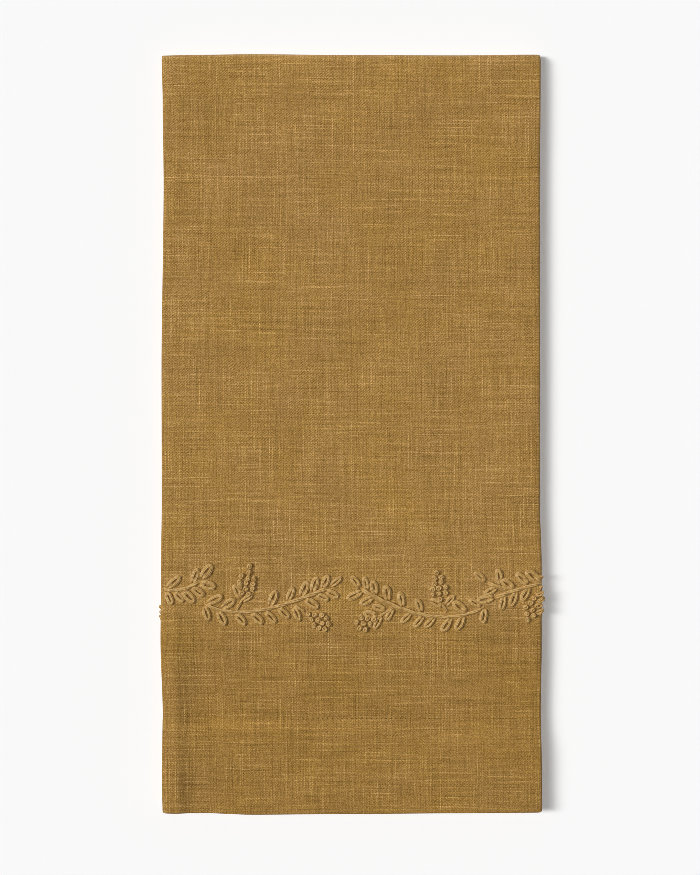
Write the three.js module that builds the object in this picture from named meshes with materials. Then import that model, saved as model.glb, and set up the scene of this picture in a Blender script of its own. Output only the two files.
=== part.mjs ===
// Linen towel with a vine border, folded in three across its width and then in half along its length.
// It lies on Z = 0 with the bordered face up, the half fold at +Y and the hems at -Y.
// Millimetres, +Z up. The origin is the middle of its footprint, on the surface it lies on.

import * as THREE from "three";

// The cloth, and the towel folded from it
const CLOTH_WIDTH = 470;
const CLOTH_THICKNESS = 1.0;
const FOLDED_WIDTH = 163;
const FOLDED_LENGTH = 326;
const CORNER_RADIUS = 1.5;

// Air between neighbouring layers of one half, and between the two halves
const LAYER_GAP = 0.35;
const HALVES_GAP = 0.5;

// The hems: how deep they are, and how much higher they make the stack over the ramp inside them
const HEM_DEPTH = 40;
const HEM_RISE = 1.6;
const HEM_RAMP = 5.5;

// The share of that rise that the hem has beside the left fold and from there on
const HEM_PROUD = [
  { across: -76, share: 0.45 },
  { across: -62, share: 1 },
];

// The stack is pressed thinner towards its folds: by how much at the fold, and over what width
const PRESSED = {
  left: { drop: 0.55, width: 10 },
  right: { drop: 0.5, width: 9 },
  half: { drop: 0.8, width: 20 },
};

// The roll inside the left fold: its crest and the width of its flanks, and how high it stands by
// distance up the towel from the hems
const ROLL = { x: -76, left: 14, right: 5.4 };
const ROLL_RISE = [
  { up: 0, rise: 4.4 },
  { up: 30, rise: 3.2 },
  { up: 76, rise: 2.2 },
  { up: 98, rise: 0 },
];

// How far each hem ends short of the layer above it, for a millimetre of depth in the stack
const HEM_SETBACK = 0.45;

// Facets: stations across the layers, arc steps in each side fold and in the half fold, row spacing
const CROSS_STATIONS = [-77.5, -74.5, -70, -64, -45, -22, 0, 22, 45, 64, 69, 75, 78];
const SIDE_FOLD_SEGMENTS = 3;
const HALF_FOLD_STEPS = 8;
const ROW_SPACING = 25;

// How far the side folds bulge out from straight lines, by distance up the towel from the hems
const SIDE_FOLDS = [
  { up: 0, left: -0.7, right: 0.4 },
  { up: 14, left: -0.35, right: 0.3 },
  { up: 40, left: -0.55, right: 0.0 },
  { up: 75, left: 0.5, right: 0.4 },
  { up: 105, left: 0.4, right: 0.4 },
  { up: 135, left: 0.1, right: -0.4 },
  { up: 190, left: 0.2, right: -0.3 },
  { up: 270, left: -0.7, right: -0.4 },
  { up: 305, left: -0.3, right: -0.1 },
  { up: 326, left: 0.2, right: 0.0 },
];

// How far the half fold and the top hem reach out past straight lines, by place across the towel
const END_EDGES = [
  { across: -81, fold: -0.2, hem: -0.4 },
  { across: -66, fold: 0.1, hem: -0.3 },
  { across: -43, fold: 0.35, hem: 0.5 },
  { across: 0, fold: 0.0, hem: 0.2 },
  { across: 45, fold: -0.15, hem: -0.1 },
  { across: 80, fold: 0.2, hem: -0.35 },
];

// Soft swells where the face lies slack
const SWELLS = [
  { x: -15, y: 95, across: 60, along: 55, rise: 0.35 },
  { x: 35, y: -20, across: 50, along: 60, rise: 0.3 },
  { x: 10, y: -97, across: 90, along: 12, rise: 0.35 },
];

// Heights of the middle of each layer above the plane between the halves
const PITCH = CLOTH_THICKNESS + LAYER_GAP;
const INNER_FLAP = (HALVES_GAP + CLOTH_THICKNESS) / 2;
const OUTER_FLAP = INNER_FLAP + PITCH;
const FACE = OUTER_FLAP + PITCH;
const HALF_HEIGHT = FACE + CLOTH_THICKNESS / 2;

// The left fold turns the face under into the outer flap, the right fold into the inner flap
const LEFT_FOLD = makeFold(-1, (FACE - OUTER_FLAP) / 2);
const RIGHT_FOLD = makeFold(1, (FACE - INNER_FLAP) / 2);
const FACE_WIDTH = RIGHT_FOLD.x - LEFT_FOLD.x;
const TURNED_WIDTH = Math.PI * (LEFT_FOLD.radius + RIGHT_FOLD.radius);
const FLAP_WIDTH = (CLOTH_WIDTH - FACE_WIDTH - TURNED_WIDTH) / 2;

// The hem line and the axis of the half fold, as Y
const HEM_Y = -FOLDED_LENGTH / 2;
const HALF_FOLD_Y = FOLDED_LENGTH / 2 - HALF_HEIGHT;

// The axis of a side fold, so placed that its outer surface reaches the folded width
function makeFold(side, radius) {
  return { radius, x: side * (FOLDED_WIDTH / 2 - radius - CLOTH_THICKNESS / 2), height: FACE - radius };
}

// A value from a table of rows, eased from each row to the next
function eased(rows, key, column, at) {
  const next = rows.findIndex((row) => row[key] >= at);
  if (next === 0) return rows[0][column];
  if (next < 0) return rows[rows.length - 1][column];
  const before = rows[next - 1];
  const after = rows[next];
  const share = THREE.MathUtils.smoothstep(at, before[key], after[key]);
  return THREE.MathUtils.lerp(before[column], after[column], share);
}

// Draws a flat run of a layer, with a point at every cross station on the way
function drawFlat(shape, from, to, height) {
  const between = CROSS_STATIONS.filter((x) => (x - from) * (x - to) < 0);
  if (to < from) between.reverse();
  for (const x of [from, ...between, to]) shape.lineTo(x, height);
}

// The closed section of one half: the bordered side from flap to flap, then the plain side back
function foldedSection() {
  const half = CLOTH_THICKNESS / 2;
  const up = Math.PI / 2;
  const outerFlapEdge = LEFT_FOLD.x + FLAP_WIDTH;
  const innerFlapEdge = RIGHT_FOLD.x - FLAP_WIDTH;
  const { x: leftX, height: leftHeight, radius: leftRadius } = LEFT_FOLD;
  const { x: rightX, height: rightHeight, radius: rightRadius } = RIGHT_FOLD;
  const shape = new THREE.Shape();
  shape.moveTo(outerFlapEdge, OUTER_FLAP - half);
  drawFlat(shape, outerFlapEdge, leftX, OUTER_FLAP - half);
  shape.absarc(leftX, leftHeight, leftRadius + half, 3 * up, up, true);
  drawFlat(shape, leftX, rightX, FACE + half);
  shape.absarc(rightX, rightHeight, rightRadius + half, up, -up, true);
  drawFlat(shape, rightX, innerFlapEdge, INNER_FLAP - half);
  drawFlat(shape, innerFlapEdge, rightX, INNER_FLAP + half);
  shape.absarc(rightX, rightHeight, rightRadius - half, -up, up, false);
  drawFlat(shape, rightX, leftX, FACE - half);
  shape.absarc(leftX, leftHeight, leftRadius - half, up, 3 * up, false);
  drawFlat(shape, leftX, outerFlapEdge, OUTER_FLAP + half);
  return shape;
}

// The section's points, without the repeats where a run meets a turn
function sectionPoints(shape) {
  const smallest = CLOTH_THICKNESS / 1000;
  const { shape: points } = shape.extractPoints(SIDE_FOLD_SEGMENTS);
  return points.filter((point, i) => point.distanceTo(points.at(i - 1)) > smallest);
}

// Rows of the sweep from the back hem round the half fold to the front hem. Reach is the share of
// the way from hem to half fold, and turn the angle from the front half round that fold.
function sweepRows() {
  const straight = HALF_FOLD_Y - HEM_Y;
  const pressedFrom = straight - PRESSED.half.width;
  const steps = Math.round((pressedFrom - HEM_DEPTH) / ROW_SPACING);
  const fromHem = [0, HEM_DEPTH / 2, HEM_DEPTH - HEM_RAMP, HEM_DEPTH - HEM_RAMP / 2, HEM_DEPTH];
  for (let step = 1; step <= steps; step += 1) {
    fromHem.push(THREE.MathUtils.lerp(HEM_DEPTH, pressedFrom, step / steps));
  }
  fromHem.push((pressedFrom + straight) / 2, straight);
  const back = fromHem.map((distance) => ({ reach: distance / straight, turn: Math.PI }));
  const front = back.map(({ reach }) => ({ reach, turn: 0 })).reverse();
  const bend = [];
  for (let step = HALF_FOLD_STEPS - 1; step > 0; step -= 1) {
    bend.push({ reach: 1, turn: (Math.PI * step) / HALF_FOLD_STEPS });
  }
  return [...back, ...bend, ...front];
}

// The end of a layer at its hem: the uneven edge, rounded at the corners, deeper layers set back
function hemEdge(x, depth) {
  const past = Math.max(0, Math.abs(x) - FOLDED_WIDTH / 2 + CORNER_RADIUS);
  const rounded = CORNER_RADIUS - Math.sqrt(Math.max(0, CORNER_RADIUS ** 2 - past ** 2));
  return HEM_Y - eased(END_EDGES, "across", "hem", x) + rounded + HEM_SETBACK * depth;
}

// How much thinner a fold's pressing makes the stack at a distance inside it
function pressedDrop({ drop, width }, inside) {
  return drop * Math.max(0, 1 - inside / width) ** 2;
}

// How much higher than flat the stack stands at a place
function stackRise(x, y) {
  const { smoothstep } = THREE.MathUtils;
  const up = y - HEM_Y;
  const side = FOLDED_WIDTH / 2;
  const hemShare = 1 - smoothstep(up, HEM_DEPTH - HEM_RAMP, HEM_DEPTH);
  let rise = HEM_RISE * eased(HEM_PROUD, "across", "share", x) * hemShare;
  rise -= pressedDrop(PRESSED.left, side + x);
  rise -= pressedDrop(PRESSED.right, side - x);
  rise -= pressedDrop(PRESSED.half, FOLDED_LENGTH - up);
  const flank = x > ROLL.x ? ROLL.right : ROLL.left;
  rise += eased(ROLL_RISE, "up", "rise", up) / (1 + ((x - ROLL.x) / flank) ** 2);
  for (const swell of SWELLS) {
    const away = ((x - swell.x) / swell.across) ** 2 + ((y - swell.y) / swell.along) ** 2;
    rise += swell.rise * Math.exp(-away);
  }
  return rise;
}

// Carries a point of the section, x and height above the plane between the halves, to its place
function carry(x, height, row) {
  const depth = row.turn < Math.PI ? FACE - height : INNER_FLAP + height;
  const hemY = hemEdge(x, Math.max(0, depth));
  const foldY = HALF_FOLD_Y + eased(END_EDGES, "across", "fold", x);
  const y = THREE.MathUtils.lerp(hemY, foldY, row.reach) + height * Math.sin(row.turn);
  const flatZ = HALF_HEIGHT + height * Math.cos(row.turn);
  const up = y - HEM_Y;
  const towardsRight = x / FOLDED_WIDTH + 0.5;
  const leftBulge = -eased(SIDE_FOLDS, "up", "left", up);
  const rightBulge = eased(SIDE_FOLDS, "up", "right", up);
  const bulge = THREE.MathUtils.lerp(leftBulge, rightBulge, THREE.MathUtils.smoothstep(towardsRight, 0, 1));
  const stretch = 1 + stackRise(x, y) / (2 * HALF_HEIGHT);
  return new THREE.Vector3(x + bulge, y, flatZ * stretch);
}

// The towel: the section extruded one step for each row, then each point carried to its row
function towelGeometry() {
  const rows = sweepRows();
  const steps = rows.length - 1;
  const section = new THREE.Shape(sectionPoints(foldedSection()));
  const geometry = new THREE.ExtrudeGeometry(section, { depth: steps, steps, bevelEnabled: false });
  const points = geometry.getAttribute("position");
  for (let i = 0; i < points.count; i += 1) {
    const row = rows[Math.round(points.getZ(i))];
    const place = carry(points.getX(i), points.getY(i), row);
    points.setXYZ(i, place.x, place.y, place.z);
  }
  geometry.computeVertexNormals();
  return geometry;
}

const linen = new THREE.MeshStandardMaterial({ color: "#9f7b43", roughness: 0.9, metalness: 0 });
const towel = new THREE.Mesh(towelGeometry(), linen);
towel.name = "towel";

const foldedTowel = new THREE.Group();
foldedTowel.add(towel);

export default foldedTowel;
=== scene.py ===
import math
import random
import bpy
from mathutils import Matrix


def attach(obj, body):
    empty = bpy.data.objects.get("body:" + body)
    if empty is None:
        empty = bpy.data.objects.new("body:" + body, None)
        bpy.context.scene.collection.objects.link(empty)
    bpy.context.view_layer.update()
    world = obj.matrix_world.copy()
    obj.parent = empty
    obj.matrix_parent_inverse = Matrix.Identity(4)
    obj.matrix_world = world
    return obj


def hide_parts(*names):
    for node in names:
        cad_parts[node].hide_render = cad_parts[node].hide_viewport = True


bl_info = {
    "name": "Folded Linen Towel",
    "version": (1, 0, 0),
    "blender": (4, 5, 0),
    "location": "View3D > Sidebar > Linen Towel",
    "description": "Builds a linen towel with an embroidered vine border, folded in three and then in half",
    "category": "Add Mesh",
}

from types import SimpleNamespace

import bmesh
import bpy
from bpy.props import FloatProperty, FloatVectorProperty, IntProperty, PointerProperty
from mathutils import Vector, noise

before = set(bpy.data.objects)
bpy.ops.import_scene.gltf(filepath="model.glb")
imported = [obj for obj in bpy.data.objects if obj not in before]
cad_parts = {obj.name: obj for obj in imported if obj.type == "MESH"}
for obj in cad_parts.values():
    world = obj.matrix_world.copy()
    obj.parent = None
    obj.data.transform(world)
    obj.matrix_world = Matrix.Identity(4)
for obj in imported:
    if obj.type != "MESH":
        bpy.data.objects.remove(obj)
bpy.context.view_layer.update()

# Shapes are worked out in millimetres, as the tables are, and become metres in their meshes
MM = 0.001
BODY = "root"
CLOTH_UV = "cloth"

# How far the side folds bulge out from straight lines, by distance up the towel from the hems
SIDE_FOLDS = [
    dict(up=0, left=-0.7, right=0.4),
    dict(up=14, left=-0.35, right=0.3),
    dict(up=40, left=-0.55, right=0.0),
    dict(up=75, left=0.5, right=0.4),
    dict(up=105, left=0.4, right=0.4),
    dict(up=135, left=0.1, right=-0.4),
    dict(up=190, left=0.2, right=-0.3),
    dict(up=270, left=-0.7, right=-0.4),
    dict(up=305, left=-0.3, right=-0.1),
    dict(up=326, left=0.2, right=0.0),
]

# How far the half fold and the top hem reach out past straight lines, by place across the towel
END_EDGES = [
    dict(across=-81, fold=-0.2, hem=-0.4),
    dict(across=-66, fold=0.1, hem=-0.3),
    dict(across=-43, fold=0.35, hem=0.5),
    dict(across=0, fold=0.0, hem=0.2),
    dict(across=45, fold=-0.15, hem=-0.1),
    dict(across=80, fold=0.2, hem=-0.35),
]

# The stack is pressed thinner towards its folds: by how much at the fold, and over what width
PRESSED = {
    "left": dict(drop=0.55, width=10),
    "right": dict(drop=0.5, width=9),
    "half": dict(drop=0.8, width=20),
}

# The roll inside the left fold: its crest and flanks across, and how high it stands up the towel
ROLL = dict(x=-76, left=14, right=5.4)
ROLL_RISE = [
    dict(up=0, rise=4.4),
    dict(up=30, rise=3.2),
    dict(up=76, rise=2.2),
    dict(up=98, rise=0.0),
]

# The furrow that the stitches draw just above the hem. It fades out towards the right, where the
# slope up to the hem is longer, and the hem stands less proud beside the left fold.
HEM_FURROW = dict(above=0.6, depth=0.55, spread=2.2)
HEM_LONG_RAMP = 16
HEM_LINE = [
    dict(across=-76, sharp=0.7, proud=0.45),
    dict(across=-62, sharp=1.0, proud=1.0),
    dict(across=-5, sharp=1.0, proud=1.0),
    dict(across=55, sharp=0.0, proud=1.0),
]

# Soft swells where the face lies slack
SWELLS = [
    dict(x=-15, y=95, across=60, along=55, rise=0.35),
    dict(x=35, y=-20, across=50, along=60, rise=0.3),
    dict(x=10, y=-97, across=90, along=12, rise=0.35),
]

# The border's stems as curves of four control points, across from the border's middle and up from
# the hem, each running from its tip to its root
BORDER_MIDDLE = -2.6
STEMS = {
    "right swag": [(7.0, 96.1), (24.0, 86.1), (43.0, 79.5), (59.5, 88.4)],
    "left swag": [(-7.0, 96.8), (-24.0, 90.2), (-43.0, 82.0), (-60.2, 89.4)],
    "right outer": [(64.4, 92.4), (70.0, 94.8), (77.0, 96.8), (84.0, 98.4)],
    "right sprig": [(60.6, 98.6), (63.6, 97.7), (66.8, 96.4), (70.4, 95.0)],
    "left outer": [(-62.0, 99.5), (-66.5, 96.0), (-72.0, 94.6), (-77.6, 95.9)],
}

# Leaves on each stem, by share of the way from tip to root, above it and below it
LEAVES = {
    "right swag": dict(
        above=(0.0, 0.05, 0.12, 0.22, 0.34, 0.49, 0.86, 0.99),
        below=(0.02, 0.11, 0.41, 0.51, 0.6, 0.73, 0.83, 1.0),
    ),
    "left swag": dict(
        above=(0.0, 0.06, 0.14, 0.23, 0.34, 0.48, 0.87, 0.99),
        below=(0.04, 0.12, 0.21, 0.42, 0.52, 0.63, 0.75, 0.89, 1.0),
    ),
    "right outer": dict(above=(0.0, 0.46, 0.75, 1.0), below=(0.2, 0.48, 0.75)),
    "right sprig": dict(above=(0.0, 0.63), below=(0.52,)),
    "left outer": dict(above=(0.0, 0.24, 0.95), below=(0.08, 0.3, 0.54, 0.76, 0.94)),
}

# Berry clusters: where the stalk leaves its stem, where it meets the berries, the way the cluster
# points in degrees from straight across, its rows of knots from stalk to tip, and their size
CLUSTERS = {
    "right upper": dict(root=(43.8, 85.6), top=(40.6, 90.4), heading=97, rows=(1, 3, 3, 2, 2, 1), size=1.0),
    "right lower": dict(root=(20.9, 88.6), top=(13.4, 83.8), heading=202, rows=(1, 2, 3, 2), size=1.0),
    "left upper": dict(root=(-46.9, 86.6), top=(-43.0, 93.0), heading=80, rows=(2, 3, 3, 3, 1, 1), size=1.0),
    "left lower": dict(root=(-22.1, 89.6), top=(-16.6, 86.4), heading=326, rows=(1, 2, 3, 3, 2), size=1.0),
    "right fold": dict(root=(82.6, 97.4), top=(83.1, 94.6), heading=246, rows=(1, 2, 2, 3, 2, 1), size=1.0),
    "left fold": dict(root=(-79.7, 88.6), top=(-79.8, 87.8), heading=268, rows=(1, 1, 1), size=0.68),
}

# Leaves on the berry stalks: by share of the way from root to berries, and their heading in degrees
STALK_LEAVES = [
    dict(cluster="right upper", share=0.5, heading=153),
    dict(cluster="right upper", share=0.55, heading=48),
    dict(cluster="right lower", share=0.0, heading=246),
    dict(cluster="right lower", share=0.35, heading=164),
    dict(cluster="right lower", share=0.8, heading=166),
    dict(cluster="right lower", share=0.68, heading=240),
    dict(cluster="left upper", share=0.6, heading=34),
    dict(cluster="left upper", share=0.75, heading=112),
    dict(cluster="left lower", share=0.0, heading=286),
]


def linear(hex_colour):
    """An sRGB hex colour as linear red, green and blue."""
    channels = [int(hex_colour[i : i + 2], 16) / 255 for i in (1, 3, 5)]
    return [c / 12.92 if c <= 0.04045 else ((c + 0.055) / 1.055) ** 2.4 for c in channels]


def length_property(name, millimetres, description):
    """A length that a user may change, given in millimetres and kept in metres."""
    return FloatProperty(
        name=name,
        description=description,
        default=millimetres * MM,
        min=0.0,
        precision=5,
        subtype="DISTANCE",
        unit="LENGTH",
    )


def colour_property(name, hex_colour, description):
    """A colour that a user may change, given as sRGB hex and kept linear."""
    return FloatVectorProperty(
        name=name,
        description=description,
        default=linear(hex_colour),
        min=0.0,
        max=1.0,
        size=3,
        subtype="COLOR",
    )


class ClothSizes(bpy.types.PropertyGroup):
    """The flat towel and the way it is folded"""

    width: length_property("Width", 470, "Width of the flat towel")
    length: length_property("Length", 650, "Length of the flat, hemmed towel")
    thickness: length_property("Thickness", 0.8, "Thickness of the single cloth")
    hem_thickness: length_property("Hem thickness", 1.05, "Thickness of the turned hem")
    hem_depth: length_property("Hem depth", 40, "Depth of the hem at each end")
    hem_rise: length_property("Hem rise", 1.6, "How much higher the hems make the stack")
    hem_ramp: length_property("Hem ramp", 5.5, "Width of the slope up to the hem")
    hem_stitch: length_property("Hem stitch", 2.1, "Spacing of the hem stitches")
    hem_setback: FloatProperty(
        name="Hem setback",
        description="How far each deeper hem ends short, as a share of its depth in the stack",
        default=0.45,
        min=0.0,
    )
    folded_width: length_property("Folded width", 163, "Width of the folded towel")
    folded_length: length_property("Folded length", 326, "Length of the folded towel")
    corner_radius: length_property("Corner radius", 1.5, "Rounding of the hem's corners")
    layer_space: length_property("Layer space", 1.0, "Height that one layer takes in the stack")
    layer_gap: length_property("Layer gap", 0.35, "Air between neighbouring layers")
    halves_gap: length_property("Halves gap", 0.5, "Air between the two halves")
    warp_spacing: length_property("Warp spacing", 0.66, "Spacing of the threads that run up the towel")
    weft_spacing: length_property("Weft spacing", 0.563, "Spacing of the threads that run across it")


class BorderSizes(bpy.types.PropertyGroup):
    """The stitches of the vine border"""

    stem_width: length_property("Stem width", 2.0, "Width of the stem stitch at a stem's tip")
    root_width: length_property("Root width", 1.4, "Width of the stem stitch at a stem's root")
    stalk_width: length_property("Stalk width", 1.25, "Width of a berry stalk")
    leaf_length: length_property("Leaf length", 6.0, "Length of a leaf")
    leaf_width: length_property("Leaf width", 3.4, "Width of a leaf")
    strand_width: length_property("Strand width", 0.76, "Width of one strand of thread in a leaf")
    knot_width: length_property("Knot width", 2.75, "Width of a berry knot")
    knot_spacing: length_property("Knot spacing", 2.8, "Distance between neighbouring berry knots")
    seed: IntProperty(name="Seed", description="Unevenness of the hand stitching", default=7, min=0)


class TowelColours(bpy.types.PropertyGroup):
    """Colours of the cloth, the thread and the floor"""

    # The linen's shade and light colours are reached by dark and pale threads and also by the painted shade
    # and painted light on the threads' flanks
    linen_shade: colour_property("Linen shade", "#77561E", "Darkest threads and the gaps in the weave")
    linen: colour_property("Linen", "#AB8445", "Middle of the cloth's colour")
    linen_light: colour_property("Linen light", "#DDB675", "Lightest slub threads")
    lower_tint: colour_property("Lower tint", "#F5F3E6", "Tint of the cloth below the border")
    thread: colour_property("Thread", "#BC9754", "Embroidery thread")
    thread_shade: colour_property("Thread shade", "#99702B", "Darker plies of the embroidery thread")
    floor: colour_property("Floor", "#F7F7F7", "Studio floor")


class LinenTowel(bpy.types.PropertyGroup):
    """Everything that a user would change"""

    cloth: PointerProperty(type=ClothSizes)
    border: PointerProperty(type=BorderSizes)
    colours: PointerProperty(type=TowelColours)


def ease(low, high, value):
    """Runs smoothly from 0 at low to 1 at high."""
    share = min(max((value - low) / (high - low), 0.0), 1.0)
    return share * share * (3 - 2 * share)


def mix(start, end, share):
    """The number that share of the way from start to end."""
    return start + (end - start) * share


def eased(rows, key, column, at):
    """A value from a table of rows, eased from each row to the next."""
    if at <= rows[0][key]:
        return rows[0][column]
    for before, after in zip(rows, rows[1:]):
        if at <= after[key]:
            return mix(before[column], after[column], ease(before[key], after[key], at))
    return rows[-1][column]


def spread(start, stop, steps):
    """Evenly spaced numbers from start, leaving stop to the next run."""
    return [mix(start, stop, step / steps) for step in range(steps)]


class FoldedShape:
    """Takes a point of the flat towel to its place in the folded one, in millimetres.

    Across runs over the width from the middle of the face, along runs over the length from the edge
    of the top hem, and lift is the height above the middle of the cloth on its bordered side. The
    side folds are pressed square: a fold power of 1 would make them round.
    """

    FACE_STEPS = 70
    ROLL_WIDTH = 18.0
    ROLL_STEPS = 18
    FLAP_STEPS = 17
    NEAR_FOLD = 14.0
    NEAR_STEPS = 6
    TURN_STEPS = 10
    HEM_STEPS = 16
    RIDGE_REACH = 7.0
    RIDGE_STEPS = 16
    FRONT_STEPS = 110
    BEND_STEPS = 16
    BACK_STEPS = 44
    HEM_EDGE = (0.0, 0.08, 0.25, 0.55, 1.2)
    FOLD_POWER = 0.5
    UNEVEN_HEIGHT = 0.09
    UNEVEN_SIZE = 14.0

    def __init__(self, cloth):
        self.width = cloth.folded_width / MM
        self.length = cloth.folded_length / MM
        self.hem_depth = cloth.hem_depth / MM
        self.hem_rise = cloth.hem_rise / MM
        self.hem_ramp = cloth.hem_ramp / MM
        self.hem_setback = cloth.hem_setback
        self.corner = cloth.corner_radius / MM
        space = cloth.layer_space / MM
        pitch = space + cloth.layer_gap / MM
        self.inner_flap = (cloth.halves_gap / MM + space) / 2
        self.face = self.inner_flap + 2 * pitch
        self.half_height = self.face + space / 2
        self.left = self.side_fold(-1, pitch / 2, space)
        self.right = self.side_fold(1, pitch, space)
        turned = math.pi * (self.left.radius + self.right.radius)
        self.flap = (cloth.width / MM - (self.right.x - self.left.x) - turned) / 2
        self.hem_y = -self.length / 2
        self.fold_y = self.length / 2 - self.half_height
        self.straight = self.fold_y - self.hem_y
        self.bend = math.pi * self.face
        self.whole = 2 * self.straight + self.bend

    def side_fold(self, side, radius, space):
        """A side fold's axis, placed so that the outer surface reaches the folded width."""
        x = side * (self.width / 2 - radius - space / 2)
        return SimpleNamespace(side=side, radius=radius, x=x, height=self.face - radius)

    def columns(self):
        """Places across the cloth, close together at the folds and over the face."""
        left_turn = self.left.x - math.pi * self.left.radius
        right_turn = self.right.x + math.pi * self.right.radius
        return [
            *spread(left_turn - self.flap, left_turn - self.NEAR_FOLD, self.FLAP_STEPS),
            *spread(left_turn - self.NEAR_FOLD, left_turn, self.NEAR_STEPS),
            *spread(left_turn, self.left.x, self.TURN_STEPS),
            *spread(self.left.x, self.left.x + self.ROLL_WIDTH, self.ROLL_STEPS),
            *spread(self.left.x + self.ROLL_WIDTH, self.right.x, self.FACE_STEPS),
            *spread(self.right.x, right_turn, self.TURN_STEPS),
            *spread(right_turn, right_turn + self.NEAR_FOLD, self.NEAR_STEPS),
            *spread(right_turn + self.NEAR_FOLD, right_turn + self.flap, self.FLAP_STEPS),
            right_turn + self.flap,
        ]

    def rows(self):
        """Places along the cloth, close together at the hem edges, the half fold and the front."""
        edge = self.HEM_EDGE
        ridge_start = self.hem_depth - self.RIDGE_REACH
        ridge_end = self.hem_depth + self.RIDGE_REACH
        bend_end = self.straight + self.bend
        return [
            *edge[:-1],
            *spread(edge[-1], ridge_start, self.HEM_STEPS),
            *spread(ridge_start, ridge_end, self.RIDGE_STEPS),
            *spread(ridge_end, self.straight, self.FRONT_STEPS),
            *spread(self.straight, bend_end, self.BEND_STEPS),
            *spread(bend_end, self.whole - edge[-1], self.BACK_STEPS),
            *(self.whole - place for place in reversed(edge)),
        ]

    def section(self, across, lift):
        """A point's x, and its height above the plane between the halves."""
        fold = self.right if across > 0 else self.left
        past = abs(across) - abs(fold.x)
        if past <= 0:
            return across, self.face + lift
        turned = past / fold.radius
        if turned < math.pi:
            reach = fold.radius + lift
            out = math.sin(turned) ** self.FOLD_POWER
            up = math.copysign(abs(math.cos(turned)) ** self.FOLD_POWER, math.cos(turned))
            return fold.x + fold.side * reach * out, fold.height + reach * up
        flap = past - math.pi * fold.radius
        return fold.x - fold.side * flap, fold.height - fold.radius - lift

    def row(self, along):
        """The share of the way from hem to half fold, and the angle gone round that fold."""
        if along <= self.straight:
            return along / self.straight, 0.0
        if along < self.straight + self.bend:
            return 1.0, (along - self.straight) / self.face
        return (self.whole - along) / self.straight, math.pi

    def hem_edge(self, x, depth):
        """Where a layer ends: the uneven edge, rounded at the corners, deeper layers set back."""
        past = min(max(0.0, abs(x) - self.width / 2 + self.corner), self.corner)
        rounded = self.corner - math.sqrt(self.corner**2 - past**2)
        return self.hem_y - eased(END_EDGES, "across", "hem", x) + rounded + self.hem_setback * depth

    def pressed(self, fold, inside):
        """How much thinner a fold's pressing makes the stack at a distance inside it."""
        return PRESSED[fold]["drop"] * max(0.0, 1 - inside / PRESSED[fold]["width"]) ** 2

    def rise(self, x, y):
        """How much higher than flat the stack stands at a place."""
        up = y - self.hem_y
        sharp = eased(HEM_LINE, "across", "sharp", x)
        proud = eased(HEM_LINE, "across", "proud", x)
        ramp = mix(HEM_LONG_RAMP, self.hem_ramp, sharp)
        rise = self.hem_rise * proud * (1 - ease(self.hem_depth - ramp, self.hem_depth, up))
        rise -= self.pressed("left", self.width / 2 + x)
        rise -= self.pressed("right", self.width / 2 - x)
        rise -= self.pressed("half", self.length - up)
        flank = ROLL["right"] if x > ROLL["x"] else ROLL["left"]
        rise += eased(ROLL_RISE, "up", "rise", up) / (1 + ((x - ROLL["x"]) / flank) ** 2)
        into_furrow = (up - self.hem_depth - HEM_FURROW["above"]) / HEM_FURROW["spread"]
        rise -= HEM_FURROW["depth"] * sharp * proud * math.exp(-(into_furrow**2))
        for swell in SWELLS:
            away = ((x - swell["x"]) / swell["across"]) ** 2 + ((y - swell["y"]) / swell["along"]) ** 2
            rise += swell["rise"] * math.exp(-away)
        uneven = noise.noise(Vector((x / self.UNEVEN_SIZE, y / self.UNEVEN_SIZE, 0.0)))
        return rise + self.UNEVEN_HEIGHT * uneven

    def place(self, across, along, lift=0.0):
        """The folded place of a point of the cloth, in metres."""
        x, height = self.section(across, lift)
        reach, turn = self.row(along)
        depth = self.face - height if turn < math.pi else self.inner_flap + height
        hem_y = self.hem_edge(x, max(0.0, depth))
        fold_y = self.fold_y + eased(END_EDGES, "across", "fold", x)
        y = mix(hem_y, fold_y, reach) + height * math.sin(turn)
        up = y - self.hem_y
        left = -eased(SIDE_FOLDS, "up", "left", up)
        right = eased(SIDE_FOLDS, "up", "right", up)
        bulge = mix(left, right, ease(-self.width / 2, self.width / 2, x))
        stretch = 1 + self.rise(x, y) / (2 * self.half_height)
        z = (self.half_height + height * math.cos(turn)) * stretch
        return Vector((x + bulge, y, z)) * MM


def add_node(tree, kind, inputs=(), output=0, **settings):
    """Adds a shader node with its settings, fills or links its inputs, and gives one of its outputs."""
    made = tree.nodes.new(kind)
    for name, value in settings.items():
        setattr(made, name, value)
    pairs = inputs.items() if isinstance(inputs, dict) else enumerate(inputs)
    for key, value in pairs:
        socket = made.inputs[key]
        if isinstance(value, bpy.types.NodeSocket):
            tree.links.new(value, socket)
        else:
            socket.default_value = value
    return made.outputs[output] if made.outputs else None


def opaque(colour):
    """A colour with full alpha, for a colour socket."""
    return (*colour, 1.0)


def math_node(tree, operation, *terms):
    """One step of arithmetic on numbers and sockets."""
    return add_node(tree, "ShaderNodeMath", terms, operation=operation)


def axis_node(tree, vector, axis):
    """One of a vector's three numbers."""
    return add_node(tree, "ShaderNodeSeparateXYZ", [vector], axis)


def dye_node(tree, tone, stops):
    """The colour of a tone, from places on its scale and their colours."""
    dyed = add_node(tree, "ShaderNodeValToRGB", [tone])
    elements = dyed.node.color_ramp.elements
    first, *between, last = stops
    for element, (place, colour) in zip(elements, (first, last)):
        element.position = place
        element.color = opaque(colour)
    for place, colour in between:
        elements.new(place).color = opaque(colour)
    return dyed


def start_material(name):
    """An empty node material and its tree."""
    material = bpy.data.materials.new(name)
    material.use_nodes = True
    material.node_tree.nodes.clear()
    return material, material.node_tree


def give_surface(tree, looks):
    """Ends a material with a surface of these looks."""
    surface = add_node(tree, "ShaderNodeBsdfPrincipled", looks)
    add_node(tree, "ShaderNodeOutputMaterial", [surface])


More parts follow.
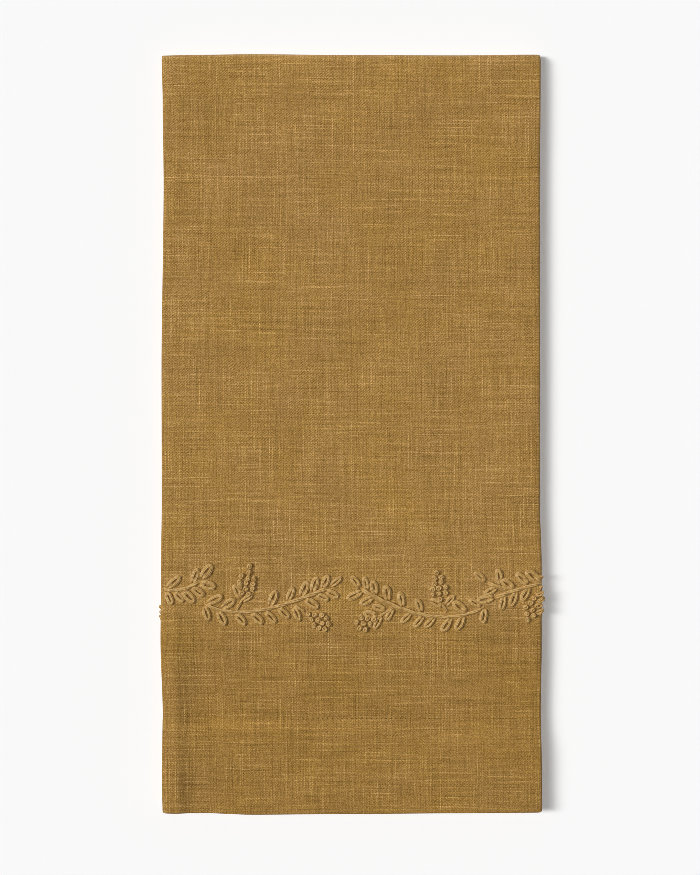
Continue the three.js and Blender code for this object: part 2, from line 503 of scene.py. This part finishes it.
def lay_threads(tree, across, along, spacing, lane, contrast, flank):
    """One set of parallel threads, as sockets: the place counted in threads, the thread's number, the
    distance from its middle, how much paler it is than most, and how grey. They lie closer together in
    some places, each drifts from thick to thin, and a thick one is painted with light on one flank and
    with shade on the other."""
    bunch_size = 4 * MM
    slub_length = 28 * MM
    far_apart = 7.3
    usual_paleness = 0.26
    bunch = math_node(tree, "MULTIPLY", across, 1 / bunch_size)
    run = math_node(tree, "MULTIPLY", along, 1 / slub_length)
    bunch_at = add_node(tree, "ShaderNodeCombineXYZ", [bunch, run, lane])
    shift = add_node(tree, "ShaderNodeTexNoise", {"Vector": bunch_at, "Scale": 1.0, "Detail": 1.0})
    even = math_node(tree, "MULTIPLY", across, 1 / spacing)
    place = math_node(tree, "MULTIPLY_ADD", shift, 2.0, even)
    number = math_node(tree, "FLOOR", place)
    off = math_node(tree, "FRACT", place)
    off = math_node(tree, "SUBTRACT", off, 0.5)

    # Most threads are much alike, and a few are far paler
    row = math_node(tree, "MULTIPLY", number, far_apart)
    tone_at = add_node(tree, "ShaderNodeCombineXYZ", [row, run, lane + 20])
    drift = add_node(tree, "ShaderNodeTexNoise", {"Vector": tone_at, "Scale": 1.0, "Detail": 2.0}, 1)
    thick = axis_node(tree, drift, 0)
    grey = axis_node(tree, drift, 1)
    paler = math_node(tree, "POWER", thick, 2.0)
    paler = math_node(tree, "MULTIPLY_ADD", paler, contrast, -usual_paleness * contrast)

    # The tone shows most on the thread's crown, and its two flanks get painted light and painted shade, as
    # if lit from one side
    turn = math_node(tree, "MULTIPLY", off, math.tau)
    crown = math_node(tree, "COSINE", turn)
    side = math_node(tree, "SINE", turn)
    rounded = math_node(tree, "MULTIPLY_ADD", crown, 0.8, 1.0)
    # Painted light on one flank and painted shade on the other
    rounded = math_node(tree, "MULTIPLY_ADD", side, flank, rounded)
    tone = math_node(tree, "MULTIPLY", paler, rounded)
    return SimpleNamespace(place=place, number=number, off=off, tone=tone, grey=grey)


def linen_material(towel):
    """Plain-woven linen, piece-dyed ochre and washed: matt, uneven threads with paler slubs, with painted
    shade in the gaps between them and a painted ripple of light over their crossings."""
    cloth = towel.cloth
    colours = towel.colours
    material, tree = start_material("plain-woven linen")
    uv = add_node(tree, "ShaderNodeUVMap", uv_map=CLOTH_UV)
    u = axis_node(tree, uv, 0)
    v = axis_node(tree, uv, 1)

    # The flank numbers set the painted light and shade on the threads' flanks: the warp painted as lit from
    # the left, the weft from the top
    warp = lay_threads(tree, u, v, cloth.warp_spacing, lane=0.0, contrast=0.59, flank=-1.4)
    weft = lay_threads(tree, v, u, cloth.weft_spacing, lane=50.0, contrast=0.76, flank=0.9)

    # Towards the hems the threads show more, and the painted light on their crossings less
    half_length = FoldedShape(cloth).whole * MM / 2
    near_hem = 70 * MM
    far_from_hem = 180 * MM
    from_end = math_node(tree, "PINGPONG", v, half_length)
    away = add_node(tree, "ShaderNodeMapRange", [from_end, near_hem, far_from_hem, 0.0, 1.0])

    # Over one, under one: 0 where the warp is on top, 1 where the weft is. The thread below still
    # shows at the edges of the one on top.
    crossing = math_node(tree, "ADD", warp.number, weft.number)
    weft_top = math_node(tree, "FLOORED_MODULO", crossing, 2.0)
    weft_share = add_node(tree, "ShaderNodeMapRange", [weft_top, 0.0, 1.0, 0.3, 0.7])
    thread_tone = add_node(tree, "ShaderNodeMix", {0: weft_share, 2: warp.tone, 3: weft.tone})
    thread_grey = add_node(tree, "ShaderNodeMix", {0: weft_share, 2: warp.grey, 3: weft.grey})
    clear = add_node(tree, "ShaderNodeMapRange", [away, 0.0, 1.0, 1.14, 1.02])
    thread_tone = math_node(tree, "MULTIPLY", thread_tone, clear)

    # Every crossing differs a little from the next
    cell = add_node(tree, "ShaderNodeCombineXYZ", [warp.number, weft.number, 0.0])
    chance = add_node(tree, "ShaderNodeTexWhiteNoise", {"Vector": cell}, 0, noise_dimensions="2D")
    cell_tone = math_node(tree, "MULTIPLY_ADD", chance, 0.05, 0.46)
    tone = math_node(tree, "ADD", thread_tone, cell_tone)

    # The top thread is round across and dips under its neighbours along its length
    across_off = add_node(tree, "ShaderNodeMix", {0: weft_top, 2: warp.off, 3: weft.off})
    along_off = add_node(tree, "ShaderNodeMix", {0: weft_top, 2: weft.off, 3: warp.off})
    across_turn = math_node(tree, "MULTIPLY", across_off, math.pi)
    along_turn = math_node(tree, "MULTIPLY", along_off, math.pi)
    across_round = math_node(tree, "COSINE", across_turn)
    along_dip = math_node(tree, "COSINE", along_turn)
    full = math_node(tree, "POWER", across_round, 0.5)
    dip = math_node(tree, "MULTIPLY_ADD", along_dip, 0.45, 0.55)
    height = math_node(tree, "MULTIPLY", full, dip)

    # Needle holes along each hem, drawn widest where the stitches are tightest. They dent the bump and are
    # painted dark further down, as painted shade in the holes
    seam = cloth.hem_depth + HEM_FURROW["above"] * MM
    hole_inner = 0.2 * MM
    hole_outer = 0.45 * MM
    tightest = 2 * MM
    tight_reach = 12 * MM
    slack_reach = 36 * MM
    to_stitch = math_node(tree, "PINGPONG", u, cloth.hem_stitch / 2)
    to_seam = math_node(tree, "SUBTRACT", from_end, seam)
    hole_at = add_node(tree, "ShaderNodeCombineXYZ", [to_stitch, to_seam, 0.0])
    hole_off = add_node(tree, "ShaderNodeVectorMath", [hole_at], 1, operation="LENGTH")
    hole = add_node(
        tree,
        "ShaderNodeMapRange",
        [hole_off, hole_inner, hole_outer, 1.0, 0.0],
        interpolation_type="SMOOTHSTEP",
    )
    from_tight = math_node(tree, "SUBTRACT", u, tightest)
    from_tight = math_node(tree, "ABSOLUTE", from_tight)
    pull = add_node(
        tree,
        "ShaderNodeMapRange",
        [from_tight, tight_reach, slack_reach, 1.0, 0.25],
        interpolation_type="SMOOTHSTEP",
    )
    hole = math_node(tree, "MULTIPLY", hole, pull)
    hole_depth = math_node(tree, "MULTIPLY_ADD", hole, -0.6, height)

    dyes = [(0.25, colours.linen_shade), (0.55, colours.linen), (0.95, colours.linen_light)]
    dyed = dye_node(tree, tone, dyes)
    # Painted shade in the gaps between the threads and painted light on their crowns
    lit = add_node(tree, "ShaderNodeMapRange", [height, 0.0, 0.8, -0.03, 0.03])

    # Painted light on the crossings: lighter on one diagonal than on the other, in patches, and every
    # other thread lighter than its neighbours, as if lit from the upper left
    ripple_size = 14 * MM
    ripple = add_node(tree, "ShaderNodeTexNoise", {"Vector": uv, "Scale": 1 / ripple_size, "Detail": 1.0}, 1)
    fall = axis_node(tree, ripple, 0)
    rise = axis_node(tree, ripple, 1)
    fall = math_node(tree, "MULTIPLY_ADD", fall, 2.1, -0.05)
    rise = math_node(tree, "MULTIPLY_ADD", rise, 0.19, -0.022)
    fall_most = add_node(tree, "ShaderNodeMapRange", [away, 0.0, 1.0, 0.08, 0.145])
    fall = math_node(tree, "MULTIPLY", fall, fall_most)
    warp_wave = math_node(tree, "MULTIPLY", warp.place, math.pi)
    weft_wave = math_node(tree, "MULTIPLY", weft.place, math.pi)
    rising = math_node(tree, "ADD", warp_wave, weft_wave)
    falling = math_node(tree, "SUBTRACT", warp_wave, weft_wave)
    for wave, share in ((falling, fall), (rising, rise), (warp_wave, 0.055), (weft_wave, 0.035)):
        caught = math_node(tree, "COSINE", wave)
        lit = math_node(tree, "MULTIPLY_ADD", caught, share, lit)

    # Loose fibres, drawn coarser than real ones
    fibre_size = 0.3 * MM
    fibre_at = add_node(tree, "ShaderNodeVectorMath", {0: uv, 3: 1 / fibre_size}, operation="SCALE")
    fibre_at = add_node(tree, "ShaderNodeVectorMath", [fibre_at], operation="FLOOR")
    fibre = add_node(tree, "ShaderNodeTexWhiteNoise", {"Vector": fibre_at}, 1, noise_dimensions="2D")
    fibre = add_node(tree, "ShaderNodeVectorMath", [fibre, (0.5, 0.5, 0.5)], operation="SUBTRACT")
    fibre_lit = axis_node(tree, fibre, 0)
    fibre_grey = axis_node(tree, fibre, 2)
    lit = math_node(tree, "MULTIPLY_ADD", fibre_lit, 0.65, lit)

    # The painted light and shade, with the fibre flecks, are whiter than the dye, so blue changes most and
    # red least
    colour = add_node(
        tree, "ShaderNodeVectorMath", [lit, (0.85, 1.0, 1.6), (0.95, 0.95, 0.95)], operation="MULTIPLY_ADD"
    )
    colour = add_node(tree, "ShaderNodeVectorMath", [dyed, colour], operation="MULTIPLY")

    # Some threads and fibres are greyer than others, and so are wider patches, a little unevenly dyed
    patch_size = 24 * MM
    patch = add_node(tree, "ShaderNodeTexNoise", {"Vector": uv, "Scale": 1 / patch_size, "Detail": 1.0}, 1)
    patch_pale = axis_node(tree, patch, 0)
    patch_grey = axis_node(tree, patch, 1)
    grey = math_node(tree, "MULTIPLY_ADD", thread_grey, 0.4, 0.6)
    grey = math_node(tree, "MULTIPLY_ADD", fibre_grey, 0.4, grey)
    grey = math_node(tree, "MULTIPLY_ADD", patch_grey, 0.4, grey)
    grey = add_node(tree, "ShaderNodeCombineXYZ", [1.0, 1.0, grey])
    colour = add_node(tree, "ShaderNodeVectorMath", [colour, grey], operation="MULTIPLY")
    patch_tone_and_hole_shade = math_node(tree, "MULTIPLY_ADD", patch_pale, 0.24, 0.87)
    # The needle holes are painted darker: painted shade in the holes
    patch_tone_and_hole_shade = math_node(tree, "MULTIPLY_ADD", hole, -0.65, patch_tone_and_hole_shade)
    colour = add_node(tree, "ShaderNodeVectorMath", {0: colour, 3: patch_tone_and_hole_shade}, operation="SCALE")

    # The end below the border is a shade deeper
    tint_full = 72 * MM
    tint_end = 92 * MM
    lower = add_node(
        tree, "ShaderNodeMapRange", [v, tint_full, tint_end, 1.0, 0.0], interpolation_type="SMOOTHSTEP"
    )
    colour = add_node(
        tree,
        "ShaderNodeMix",
        {0: lower, 6: colour, 7: opaque(colours.lower_tint)},
        2,
        data_type="RGBA",
        blend_type="MULTIPLY",
    )
    thread_height = 0.25 * MM
    bump = add_node(
        tree, "ShaderNodeBump", {"Strength": 0.25, "Distance": thread_height, "Height": hole_depth}
    )
    looks = {"Base Color": colour, "Roughness": 0.85, "Specular IOR Level": 0.25, "Sheen Weight": 0.1}
    give_surface(tree, {**looks, "Normal": bump})
    return material


def thread_material(towel):
    """Stranded cotton embroidery thread, dyed to match: smooth fine fibres with a soft sheen, each
    ply a little lighter or darker than the next."""
    colours = towel.colours
    ply_size = 1.1 * MM
    material, tree = start_material("stranded cotton thread")
    place = add_node(tree, "ShaderNodeTexCoord", output=3)
    tone = add_node(tree, "ShaderNodeTexNoise", {"Vector": place, "Scale": 1 / ply_size, "Detail": 2.0})
    dyed = dye_node(tree, tone, [(0.3, colours.thread_shade), (0.6, colours.thread)])
    looks = {"Base Color": dyed, "Roughness": 0.5, "Specular IOR Level": 0.6, "Sheen Weight": 0.15}
    give_surface(tree, looks)
    return material


def floor_material(towel):
    """A matt painted studio floor."""
    material, tree = start_material("matt studio paint")
    paint = opaque(towel.colours.floor)
    give_surface(tree, {"Base Color": paint, "Roughness": 1.0, "Specular IOR Level": 0.0})
    return material


def add_piece(name, mesh, material):
    """A piece of the towel, riding on the towel's body."""
    mesh.name = name
    mesh.materials.clear()
    mesh.materials.append(material)
    mesh.shade_smooth()
    piece = bpy.data.objects.new(name, mesh)
    bpy.context.scene.collection.objects.link(piece)
    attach(piece, BODY)
    return piece


def shared_material(maker, towel):
    """The material that a maker gives, made once."""
    key = maker.__name__
    for material in bpy.data.materials:
        if material.get("maker") == key:
            return material
    material = maker(towel)
    material["maker"] = key
    return material


def sheet_mesh(shape):
    """The folded sheet as one surface, with the flat cloth's own places in metres as its UV map."""
    columns = shape.columns()
    rows = shape.rows()
    across_steps = len(columns) - 1
    along_steps = len(rows) - 1
    work = bmesh.new()
    bmesh.ops.create_grid(work, x_segments=across_steps, y_segments=along_steps, size=0.5)
    flat = {}
    for vertex in work.verts:
        across = columns[round((vertex.co.x + 0.5) * across_steps)]
        along = rows[round((vertex.co.y + 0.5) * along_steps)]
        flat[vertex] = (across, along)
        vertex.co = shape.place(across, along)
    uv_layer = work.loops.layers.uv.new(CLOTH_UV)
    for face in work.faces:
        for loop in face.loops:
            loop[uv_layer].uv = Vector(flat[loop.vert]) * MM
    work.verts.index_update()
    alongs = [flat[vertex][1] for vertex in work.verts]
    mesh = bpy.data.meshes.new("linen_sheet")
    work.to_mesh(mesh)
    work.free()
    return mesh, alongs


def hem_weight(shape, cloth, along):
    """The share of the hem's thickness that the cloth has at a place along it."""
    edge_share = 0.25
    step_reach = 1.0
    from_edge = min(along, shape.whole - along)
    single = cloth.thickness / cloth.hem_thickness
    turned = 1 - ease(shape.hem_depth - step_reach, shape.hem_depth + step_reach, from_edge)
    rounding = cloth.hem_thickness / MM / 2
    inside = min(from_edge / rounding, 1.0)
    return mix(single, 1.0, turned) * mix(edge_share, 1.0, math.sqrt(1 - (1 - inside) ** 2))


# The leaves on each side of a stem: which way they lean from it, by how many degrees, and their size
LEAF_SIDES = {
    "above": dict(side=1, lean=51, size=1.11),
    "below": dict(side=-1, lean=53, size=1.06),
}

# The same for the leaf at a stem's tip
TIP_LEAF = dict(side=1, lean=18, size=1.12)

# A leaf's strands: how far out each swells, how high it lies as a share of the leaf's half width, the
# share of the leaf's length that it would reach, and how far round the leaf it goes to either side: a
# strand of 1 ends at the tip, and one of 2 goes round the tip and back to the base
LEAF_STRANDS = [
    dict(side=0.14, high=0.26, reach=1.0, rounds=(0.52, -0.52)),
    dict(side=0.47, high=0.4, reach=0.88, rounds=(2,)),
    dict(side=0.74, high=0.42, reach=0.95, rounds=(2,)),
    dict(side=1.0, high=0.25, reach=1.0, rounds=(2,)),
]

# Points along half a round of a leaf, a knot, a stem and a stalk
STRAND_STEPS = 18
KNOT_STEPS = 30
STEM_STEPS = 60
STALK_STEPS = 16


def sample_curve(points, steps):
    """Points along a curve of four control points."""
    start, leave, arrive, end = (Vector(point) for point in points)
    found = []
    for step in range(steps + 1):
        t = step / steps
        s = 1 - t
        found.append(start * s**3 + leave * 3 * s * s * t + arrive * 3 * s * t * t + end * t**3)
    return found


def distances(path):
    """How far along a path each of its points is."""
    gone = [0.0]
    for before, after in zip(path, path[1:]):
        gone.append(gone[-1] + (after - before).length)
    return gone


def point_on(path, share):
    """The point and direction that share of the way along a path, by its points."""
    at = share * (len(path) - 1)
    first = min(int(at), len(path) - 2)
    point = path[first].lerp(path[first + 1], at - first)
    return point, (path[first + 1] - path[first]).normalized()


def twist(path, widths, strands, turn_length, phase=0.0):
    """Strands of thread twisted along a path of points (across, along, lift), as lists of points
    with a radius. Widths are those at the path's start and end, and lift is from the top of the cloth."""
    flatness = 0.75
    strand_off = 0.24
    strand_radius = 0.27
    gone = distances(path)
    made = []
    for strand in range(strands):
        points = []
        for i, middle in enumerate(path):
            width = mix(*widths, gone[i] / gone[-1])
            ahead = path[min(i + 1, len(path) - 1)] - path[max(i - 1, 0)]
            aside = Vector((-ahead.y, ahead.x, 0.0)).normalized()
            angle = phase + math.tau * (strand / strands + gone[i] / turn_length)
            off = aside * math.cos(angle) + Vector((0.0, 0.0, flatness)) * math.sin(angle)
            points.append((middle + off * strand_off * width, strand_radius * width))
        made.append(points)
    return made


def thread_mesh(name, strands, shape, cloth, sides):
    """One mesh of many round strands laid on the folded cloth."""
    weld_distance = 0.001 * MM
    top = cloth.thickness / MM / 2
    curve = bpy.data.curves.new(name, "CURVE")
    curve.dimensions = "3D"
    curve.bevel_depth = 1.0
    curve.bevel_resolution = sides
    curve.use_fill_caps = True
    for strand in strands:
        spline = curve.splines.new("POLY")
        spline.points.add(len(strand) - 1)
        for point, (middle, radius) in zip(spline.points, strand):
            point.co = (*shape.place(middle.x, middle.y, top + middle.z), 1.0)
            point.radius = radius * MM
    carrier = bpy.data.objects.new(name, curve)
    bpy.context.scene.collection.objects.link(carrier)
    bpy.context.view_layer.update()
    mesh = bpy.data.meshes.new_from_object(carrier.evaluated_get(bpy.context.evaluated_depsgraph_get()))
    bpy.data.objects.remove(carrier)
    bpy.data.curves.remove(curve)
    work = bmesh.new()
    work.from_mesh(mesh)
    bmesh.ops.remove_doubles(work, verts=work.verts, dist=weld_distance)
    bmesh.ops.recalc_face_normals(work, faces=work.faces)
    work.to_mesh(mesh)
    work.free()
    return mesh


def add_stitches(towel, name, strands, sides):
    """A piece of embroidery made of strands of thread."""
    mesh = thread_mesh(name, strands, FoldedShape(towel.cloth), towel.cloth, sides)
    piece = add_piece(name, mesh, shared_material(thread_material, towel))


def border_point(point):
    """A point of the border as a place on the cloth, across from the middle of the face."""
    return Vector((point[0] + BORDER_MIDDLE, point[1], 0.0))


def stem_path(name):
    """The points of a stem on the cloth, from its tip to its root."""
    return [border_point(point) for point in sample_curve(STEMS[name], STEM_STEPS)]


def lifted(path, height, dive):
    """A path raised above the cloth, with both ends diving into it over a distance."""
    end_depth = 0.6
    gone = distances(path)
    made = []
    for point, distance in zip(path, gone):
        up = ease(0.0, dive, min(distance, gone[-1] - distance))
        made.append(Vector((point.x, point.y, mix(-end_depth, height, up))))
    return made


def leaf_strands(leaf, border, chance):
    """A leaf in detached chain stitch: loops of thread from its base round its blunt tip, with short
    strands between them that leave a slit open towards the tip."""
    base_share = 0.86
    tip_share = 1.12
    dive = 1.1
    radius = border.strand_width / MM / 2
    length = leaf.size * border.leaf_length / MM
    half = leaf.size * border.leaf_width / MM / 2 * chance.uniform(0.9, 1.08)
    forward = Vector((math.cos(leaf.heading), math.sin(leaf.heading), 0.0))
    aside = Vector((-forward.y, forward.x, 0.0))
    strands = []
    for row in LEAF_STRANDS:
        for rounds in row["rounds"]:
            sway = chance.uniform(0, math.tau)
            path = []
            for angle in spread(0.0, math.pi * rounds, round(STRAND_STEPS * abs(rounds))):
                share = row["reach"] * (1 - math.cos(angle)) / 2
                to_side = row["side"] * (half - radius) * math.sin(angle) * mix(base_share, tip_share, share)
                to_side += 0.1 * radius * math.sin(sway + 7 * share)
                path.append(leaf.base + forward * length * share + aside * to_side)
            raised = lifted(path, row["high"] * half, dive)
            thick = radius * chance.uniform(0.92, 1.08)
            strands.append([(point, thick) for point in raised])
    return strands


def knot_strands(middle, width, chance):
    """A berry as a French knot: thread wound twice round, drawn down in the middle."""
    turns = 2.1
    ply_turn_length = 5.0
    thread = 0.47 * width
    coil_radius = (width - thread) / 2
    start = chance.uniform(0, math.tau)
    path = []
    for step in range(KNOT_STEPS + 1):
        share = step / KNOT_STEPS
        angle = start + math.tau * turns * share
        inwards = 1 - 0.25 * ease(0.3, 0.8, share) - 0.6 * ease(0.85, 1.0, share)
        lift = thread * (0.4 + 0.65 * ease(0.2, 0.6, share) - 0.35 * ease(0.85, 1.0, share))
        around = Vector((math.cos(angle), math.sin(angle), 0.0)) * coil_radius * inwards
        path.append(middle + around + Vector((0.0, 0.0, lift)))
    return twist(path, (thread, thread), 2, ply_turn_length, chance.uniform(0, 6))


def all_leaves(border, chance):
    """Every leaf of the border, with its base on the cloth, its heading and its size."""
    gap = 0.45 * border.stem_width / MM
    uneven_lean = 7
    found = []
    for name, places in LEAVES.items():
        path = stem_path(name)
        for column, shares in places.items():
            for share in shares:
                row = LEAF_SIDES[column] if share > 0 else TIP_LEAF
                root, away = point_on(path, share)
                to_tip = math.atan2(-away.y, -away.x)
                upward = row["side"] if math.cos(to_tip) > 0 else -row["side"]
                found.append((root, to_tip + upward * math.radians(row["lean"]), row["size"]))
    for row in STALK_LEAVES:
        cluster = CLUSTERS[row["cluster"]]
        root = border_point(cluster["root"]).lerp(border_point(cluster["top"]), row["share"])
        found.append((root, math.radians(row["heading"]), 1.0))
    leaves = []
    for root, heading, size in found:
        heading += math.radians(chance.uniform(-uneven_lean, uneven_lean))
        base = root + Vector((math.cos(heading), math.sin(heading), 0.0)) * gap
        leaves.append(SimpleNamespace(base=base, heading=heading, size=size * chance.uniform(0.88, 1.14)))
    return leaves


def all_knots(border, chance):
    """Every berry's middle on the cloth, and its size."""
    step = border.knot_spacing / MM
    row_share = 0.83
    uneven = 0.25
    knots = []
    for cluster in CLUSTERS.values():
        heading = math.radians(cluster["heading"])
        forward = Vector((math.cos(heading), math.sin(heading), 0.0))
        aside = Vector((-forward.y, forward.x, 0.0))
        start = border_point(cluster["top"])
        for row, count in enumerate(cluster["rows"]):
            for i in range(count):
                to_side = (i - (count - 1) / 2) * step
                jitter = Vector((chance.uniform(-uneven, uneven), chance.uniform(-uneven, uneven), 0.0))
                middle = start + forward * (row * row_share + 0.5) * step + aside * to_side + jitter
                knots.append((middle, cluster["size"] * chance.uniform(0.92, 1.06)))
    return knots


class LINEN_TOWEL_OT_cloth(bpy.types.Operator):
    """Fold the linen sheet, with its hems, in three and then in half"""

    bl_idname = "linen_towel.cloth"
    bl_label = "Folded linen"

    def execute(self, context):
        towel = context.scene.linen_towel
        shape = FoldedShape(towel.cloth)
        mesh, alongs = sheet_mesh(shape)
        sheet = add_piece("linen_sheet", mesh, shared_material(linen_material, towel))
        thick = sheet.vertex_groups.new(name="thickness")
        for index, along in enumerate(alongs):
            thick.add([index], hem_weight(shape, towel.cloth, along), "REPLACE")
        solid = sheet.modifiers.new("thickness", "SOLIDIFY")
        solid.thickness = towel.cloth.hem_thickness
        solid.offset = 0.0
        solid.vertex_group = thick.name
        solid.use_quality_normals = True
        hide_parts("towel")
        return {"FINISHED"}


class LINEN_TOWEL_OT_stems(bpy.types.Operator):
    """Stitch the border's stems and berry stalks"""

    bl_idname = "linen_towel.stems"
    bl_label = "Vine stems"

    def execute(self, context):
        towel = context.scene.linen_towel
        border = towel.border
        widths = (border.stem_width / MM, border.root_width / MM)
        stalk = border.stalk_width / MM
        turn_length = 21.0
        stem_dive = 2.5
        stalk_dive = 1.5
        into_berries = 1.06
        strands = []
        for name in STEMS:
            path = lifted(stem_path(name), 0.5 * widths[1], stem_dive)
            strands += twist(path, widths, 3, turn_length)
        for cluster in CLUSTERS.values():
            ends = (border_point(cluster["root"]), border_point(cluster["top"]))
            path = [ends[0].lerp(ends[1], share) for share in spread(0.0, into_berries, STALK_STEPS)]
            strands += twist(lifted(path, 0.4 * stalk, stalk_dive), (stalk, stalk), 3, turn_length)
        add_stitches(towel, "vine_stems", strands, sides=2)
        return {"FINISHED"}


class LINEN_TOWEL_OT_leaves(bpy.types.Operator):
    """Stitch the border's leaves in detached chain stitch"""

    bl_idname = "linen_towel.leaves"
    bl_label = "Vine leaves"

    def execute(self, context):
        towel = context.scene.linen_towel
        chance = random.Random(towel.border.seed)
        strands = []
        for leaf in all_leaves(towel.border, chance):
            strands += leaf_strands(leaf, towel.border, chance)
        add_stitches(towel, "vine_leaves", strands, sides=1)
        return {"FINISHED"}


class LINEN_TOWEL_OT_berries(bpy.types.Operator):
    """Stitch the border's berries in French knots"""

    bl_idname = "linen_towel.berries"
    bl_label = "Vine berries"

    def execute(self, context):
        towel = context.scene.linen_towel
        chance = random.Random(towel.border.seed)
        strands = []
        for middle, size in all_knots(towel.border, chance):
            strands += knot_strands(middle, size * towel.border.knot_width / MM, chance)
        add_stitches(towel, "vine_berries", strands, sides=1)
        return {"FINISHED"}


# The photograph's frame, its scale at a level above the floor, and the place of the towel in it
FRAME_WIDTH_PX = 700
FRAME_HEIGHT_PX = 875
MM_PER_PX = 0.43
SCALE_LEVEL_MM = 5.5
TOWEL_MIDDLE_PX = (351.4, 433.2)

# The floor's radius in metres
FLOOR_RADIUS = 4.0

# Light on the floor, in watts a square metre, and each lamp's share of it. A tall strip light stands
# on the left, and a fill light from the top of the picture casts no shadows.
FLOOR_LIGHT = 3.2
SKY_SHARE = 0.07
LIGHTS = [
    dict(name="strip_1", turn=176, high=40, spread=13, share=0.09, shadow=True),
    dict(name="strip_2", turn=176, high=46, spread=13, share=0.14, shadow=True),
    dict(name="strip_3", turn=176, high=51.5, spread=13, share=0.17, shadow=True),
    dict(name="strip_4", turn=176, high=57.5, spread=13, share=0.14, shadow=True),
    dict(name="strip_5", turn=176, high=66, spread=13, share=0.10, shadow=True),
    dict(name="fill", turn=98, high=36, spread=30, share=0.29, shadow=False),
]


class LINEN_TOWEL_OT_stage(bpy.types.Operator):
    """Set the floor, the lights and the camera"""

    bl_idname = "linen_towel.stage"
    bl_label = "Studio"

    def execute(self, context):
        scene = context.scene
        towel = scene.linen_towel
        work = bmesh.new()
        bmesh.ops.create_circle(work, cap_ends=True, segments=96, radius=FLOOR_RADIUS)
        floor_mesh = bpy.data.meshes.new("studio_floor")
        work.to_mesh(floor_mesh)
        work.free()
        floor_mesh.materials.append(floor_material(towel))
        floor = bpy.data.objects.new("studio_floor", floor_mesh)
        scene.collection.objects.link(floor)

        for row in LIGHTS:
            lamp = bpy.data.lights.new(row["name"], "SUN")
            high = math.radians(row["high"])
            turn = math.radians(row["turn"])
            lamp.energy = row["share"] * FLOOR_LIGHT / math.sin(high)
            lamp.angle = math.radians(row["spread"])
            lamp.use_shadow = row["shadow"]
            holder = bpy.data.objects.new(row["name"], lamp)
            flat = Vector((math.cos(turn), math.sin(turn), 0.0)) * math.cos(high)
            towards = flat + Vector((0.0, 0.0, math.sin(high)))
            holder.rotation_euler = towards.to_track_quat("Z", "Y").to_euler()
            holder.location = towards
            scene.collection.objects.link(holder)

        world = bpy.data.worlds.new("studio")
        world.use_nodes = True
        background = world.node_tree.nodes["Background"]
        background.inputs["Color"].default_value = (1.0, 1.0, 1.0, 1.0)
        background.inputs["Strength"].default_value = SKY_SHARE * FLOOR_LIGHT / math.pi
        scene.world = world

        lens = bpy.data.cameras.new("camera")
        lens.lens = 100.0
        lens.sensor_width = 36.0
        holder = bpy.data.objects.new("camera", lens)
        tall = FRAME_HEIGHT_PX * MM_PER_PX * MM
        high = tall * lens.lens / lens.sensor_width
        across = (FRAME_WIDTH_PX / 2 - TOWEL_MIDDLE_PX[0]) * MM_PER_PX * MM
        along = (TOWEL_MIDDLE_PX[1] - FRAME_HEIGHT_PX / 2) * MM_PER_PX * MM
        holder.location = (across, along, SCALE_LEVEL_MM * MM + high)
        scene.collection.objects.link(holder)
        scene.camera = holder
        scene.view_settings.view_transform = "Standard"
        scene.cycles.filter_width = 0.6
        scene.cycles.denoising_prefilter = "NONE"
        return {"FINISHED"}


class LINEN_TOWEL_PT_panel(bpy.types.Panel):
    """Lists the towel's pieces and sizes"""

    bl_idname = "LINEN_TOWEL_PT_panel"
    bl_label = "Linen Towel"
    bl_space_type = "VIEW_3D"
    bl_region_type = "UI"
    bl_category = "Linen Towel"

    def draw(self, context):
        towel = context.scene.linen_towel
        for step in STEPS:
            self.layout.operator(step.bl_idname)
        for group in (towel.cloth, towel.border, towel.colours):
            box = self.layout.box()
            for name in group.__annotations__:
                box.prop(group, name)


GROUPS = (ClothSizes, BorderSizes, TowelColours, LinenTowel)
STEPS = (
    LINEN_TOWEL_OT_cloth,
    LINEN_TOWEL_OT_stems,
    LINEN_TOWEL_OT_leaves,
    LINEN_TOWEL_OT_berries,
    LINEN_TOWEL_OT_stage,
)


def register():
    for kind in (*GROUPS, *STEPS, LINEN_TOWEL_PT_panel):
        bpy.utils.register_class(kind)
    bpy.types.Scene.linen_towel = PointerProperty(type=LinenTowel)


def unregister():
    del bpy.types.Scene.linen_towel
    for kind in reversed((*GROUPS, *STEPS, LINEN_TOWEL_PT_panel)):
        bpy.utils.unregister_class(kind)


def main():
    register()
    bpy.ops.linen_towel.cloth()
    bpy.ops.linen_towel.stems()
    bpy.ops.linen_towel.leaves()
    bpy.ops.linen_towel.berries()
    bpy.ops.linen_towel.stage()


if __name__ == "__main__":
    main()
